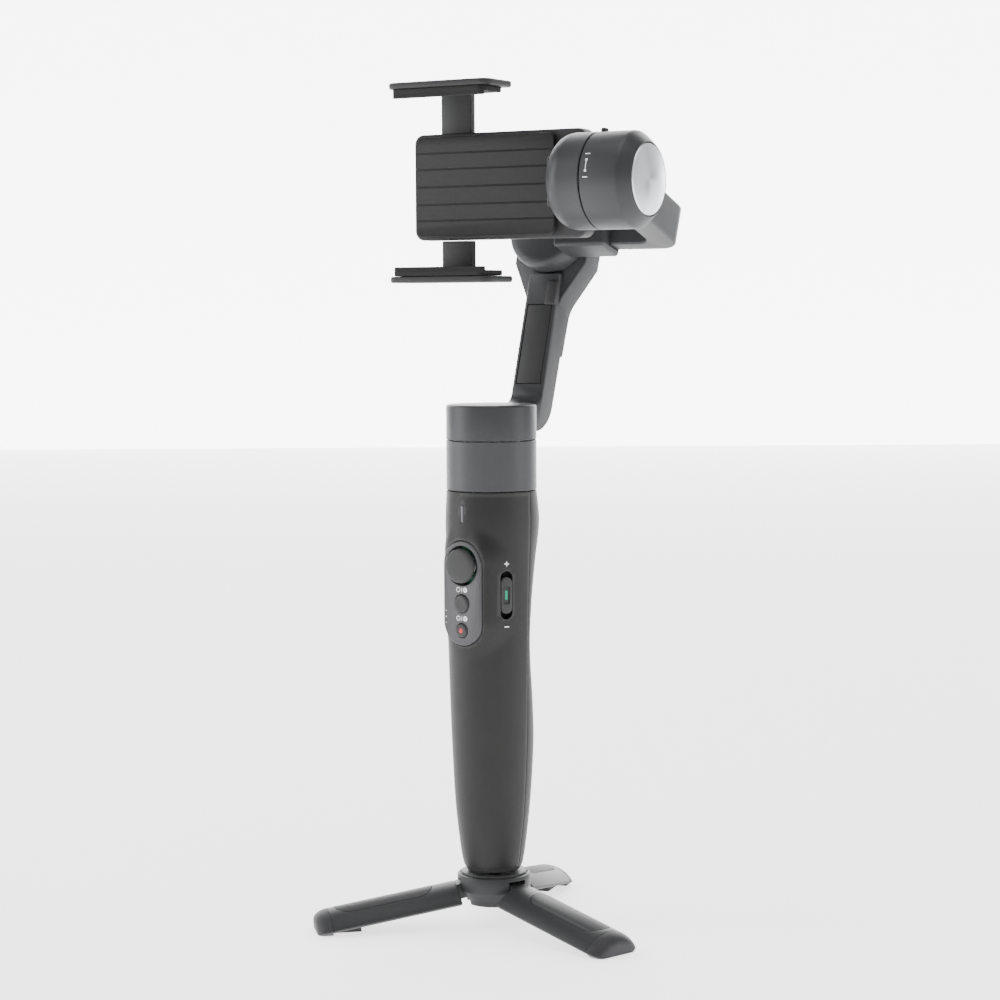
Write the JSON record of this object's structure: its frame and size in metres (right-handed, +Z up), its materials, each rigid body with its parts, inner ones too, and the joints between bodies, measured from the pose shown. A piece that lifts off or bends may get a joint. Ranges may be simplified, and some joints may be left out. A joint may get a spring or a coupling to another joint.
{
  "type": "camera gimbal",
  "caption": "Handheld three-axis phone gimbal: motors, spring clamp, telescoping pole in a waisted grip with controls, and a folding mini tripod base.",
  "frame": {"origin": "bottom centre of the object's box, on the surface that the three feet stand on", "axes": "+Z up along the pan axis and the pole; the clamp holds a phone whose screen faces -Y; +X towards the tilt motor"},
  "size_m": [0.1334, 0.1298, 0.3409],
  "materials": {
    "anodised_metal": "bead-blasted, anodised dark grey",
    "grip_plastic": "soft-touch matte",
    "control_plastic": "satin moulded",
    "clamp_plastic": "matte moulded",
    "soft_rubber": "matte rubber",
    "spun_disc": "radially spun",
    "bright_steel": "ground",
    "motor_winding": "enamelled copper wire",
    "circuit_board": "solder mask",
    "cell_wrap": "shrink sleeve",
    "light_lens": "diffusing"
  },
  "bodies": {
    "handle": {"tripod_hub": "anodised_metal", "tripod_screw": "bright_steel", "leg_pin_1": "bright_steel", "leg_pin_2": "bright_steel", "leg_pin_3": "bright_steel", "handle_front_shell": "grip_plastic", "handle_rear_shell": "grip_plastic", "base_insert": "bright_steel", "battery_cell": "cell_wrap", "pole_guide": "bright_steel", "handle_top_collar": "grip_plastic", "main_board": "circuit_board", "control_panel": "control_plastic", "status_light_lens": "light_lens", "charge_port": "bright_steel"},
    "pole_middle": {"pole_middle_tube": "bright_steel"},
    "pole_head": {"pole_inner_tube": "bright_steel", "pan_motor_housing": "anodised_metal", "pan_motor_coil": "motor_winding"},
    "pan": {"pan_rotor_cap": "anodised_metal", "pan_rotor_bell": "bright_steel", "pan_arm": "anodised_metal", "pan_arm_cover": "clamp_plastic", "roll_end_disc": "spun_disc", "roll_motor_coil": "motor_winding"},
    "roll": {"cross_arm_sleeve": "anodised_metal", "roll_rotor_bell": "bright_steel"},
    "balance_knob": {"balance_lock_knob": "clamp_plastic"},
    "cross_arm": {"cross_arm": "anodised_metal", "tilt_motor_housing": "anodised_metal", "tilt_end_disc": "spun_disc", "tilt_motor_coil": "motor_winding"},
    "tilt_lock": {"tilt_lock_ring": "clamp_plastic"},
    "tilt": {"tilt_rotor_housing": "anodised_metal", "tilt_rotor_bell": "bright_steel", "phone_stop": "clamp_plastic", "clamp_frame": "clamp_plastic", "clamp_back_pad": "soft_rubber", "clamp_guide_rod_left": "bright_steel", "clamp_guide_rod_right": "bright_steel", "clamp_spring_left": "bright_steel", "clamp_spring_right": "bright_steel", "lower_jaw": "clamp_plastic", "lower_jaw_pad": "soft_rubber"},
    "upper_jaw": {"upper_jaw": "clamp_plastic", "upper_jaw_pad": "soft_rubber"},
    "joystick_ring": {"joystick_ring": "bright_steel"},
    "joystick": {"joystick_cap": "control_plastic"},
    "power_button": {"power_button": "control_plastic"},
    "record_button": {"record_button": "control_plastic"},
    "zoom_slider": {"zoom_slider": "control_plastic"},
    "leg_1": {"leg_1_shell": "anodised_metal", "leg_1_grip_pad": "soft_rubber", "leg_1_foot": "soft_rubber"},
    "leg_2": {"leg_2_shell": "anodised_metal", "leg_2_grip_pad": "soft_rubber", "leg_2_foot": "soft_rubber"},
    "leg_3": {"leg_3_shell": "anodised_metal", "leg_3_grip_pad": "soft_rubber", "leg_3_foot": "soft_rubber"}
  },
  "joints": [
    {"name": "leg_1_fold", "type": "hinge", "parent": "handle", "child": "leg_1", "pos_m": [-0.01413, -0.0164, 0.0147], "axis": [0.6665, -0.7455, 0], "range_deg": [0, 80.5]},
    {"name": "leg_2_fold", "type": "hinge", "parent": "handle", "child": "leg_2", "pos_m": [0.00452, -0.01251, 0.0147], "axis": [0.3123, 0.95, 0], "range_deg": [0, 80.5]},
    {"name": "leg_3_fold", "type": "hinge", "parent": "handle", "child": "leg_3", "pos_m": [-0.00818, 0.0017, 0.0147], "axis": [-0.9789, -0.2045, 0], "range_deg": [0, 80.5]},
    {"name": "pole_lower_slide", "type": "slide", "parent": "handle", "child": "pole_middle", "axis": [0, 0, 1], "range_m": [0, 0.085]},
    {"name": "pole_upper_slide", "type": "slide", "parent": "pole_middle", "child": "pole_head", "axis": [0, 0, 1], "range_m": [0, 0.085]},
    {"name": "pan_turn", "type": "hinge", "parent": "pole_head", "child": "pan", "pos_m": [-0.00593, -0.00907, 0.2], "axis": [0, 0, 1], "range_deg": [-160, 160]},
    {"name": "roll_turn", "type": "hinge", "parent": "pan", "child": "roll", "pos_m": [-0.00593, -0.00907, 0.299], "axis": [0, 0.9397, -0.342], "range_deg": [-160, 160]},
    {"name": "balance_slide", "type": "slide", "parent": "roll", "child": "cross_arm", "axis": [1, 0, 0], "range_m": [-0.004, 0.006]},
    {"name": "balance_knob_turn", "type": "hinge", "parent": "roll", "child": "balance_knob", "pos_m": [0.02107, 0.03463, 0.2831], "axis": [0, 0.342, 0.9397], "range_deg": [0, 180]},
    {"name": "tilt_lock_turn", "type": "hinge", "parent": "cross_arm", "child": "tilt_lock", "pos_m": [-0.00593, -0.00907, 0.299], "axis": [-1, 0, 0], "range_deg": [0, 25]},
    {"name": "tilt_turn", "type": "hinge", "parent": "cross_arm", "child": "tilt", "pos_m": [-0.00593, -0.00907, 0.299], "axis": [1, 0, 0], "range_deg": [-150, 150]},
    {"name": "upper_jaw_slide", "type": "slide", "parent": "tilt", "child": "upper_jaw", "axis": [0, 0, 1], "range_m": [-0.013, 0.015], "deforming": ["clamp_spring_left", "clamp_spring_right"]},
    {"name": "joystick_rock", "type": "hinge", "parent": "handle", "child": "joystick_ring", "pos_m": [-0.00833, -0.0257, 0.1476], "axis": [0.9898, -0.1426, 0], "range_deg": [-10, 10], "stiffness_Nm_per_rad": 0.02},
    {"name": "joystick_swing", "type": "hinge", "parent": "joystick_ring", "child": "joystick", "pos_m": [-0.00833, -0.0257, 0.1476], "axis": [0, 0, 1], "range_deg": [-10, 10], "stiffness_Nm_per_rad": 0.02},
    {"name": "power_press", "type": "slide", "parent": "handle", "child": "power_button", "axis": [0.1426, 0.9898, 0], "range_m": [0, 0.0006], "stiffness_N_per_m": 400},
    {"name": "record_press", "type": "slide", "parent": "handle", "child": "record_button", "axis": [0.1426, 0.9898, 0], "range_m": [0, 0.0006], "stiffness_N_per_m": 400},
    {"name": "zoom_slide", "type": "slide", "parent": "handle", "child": "zoom_slider", "axis": [0, 0, 1], "range_m": [-0.0022, 0.0022], "stiffness_N_per_m": 150}
  ]
}
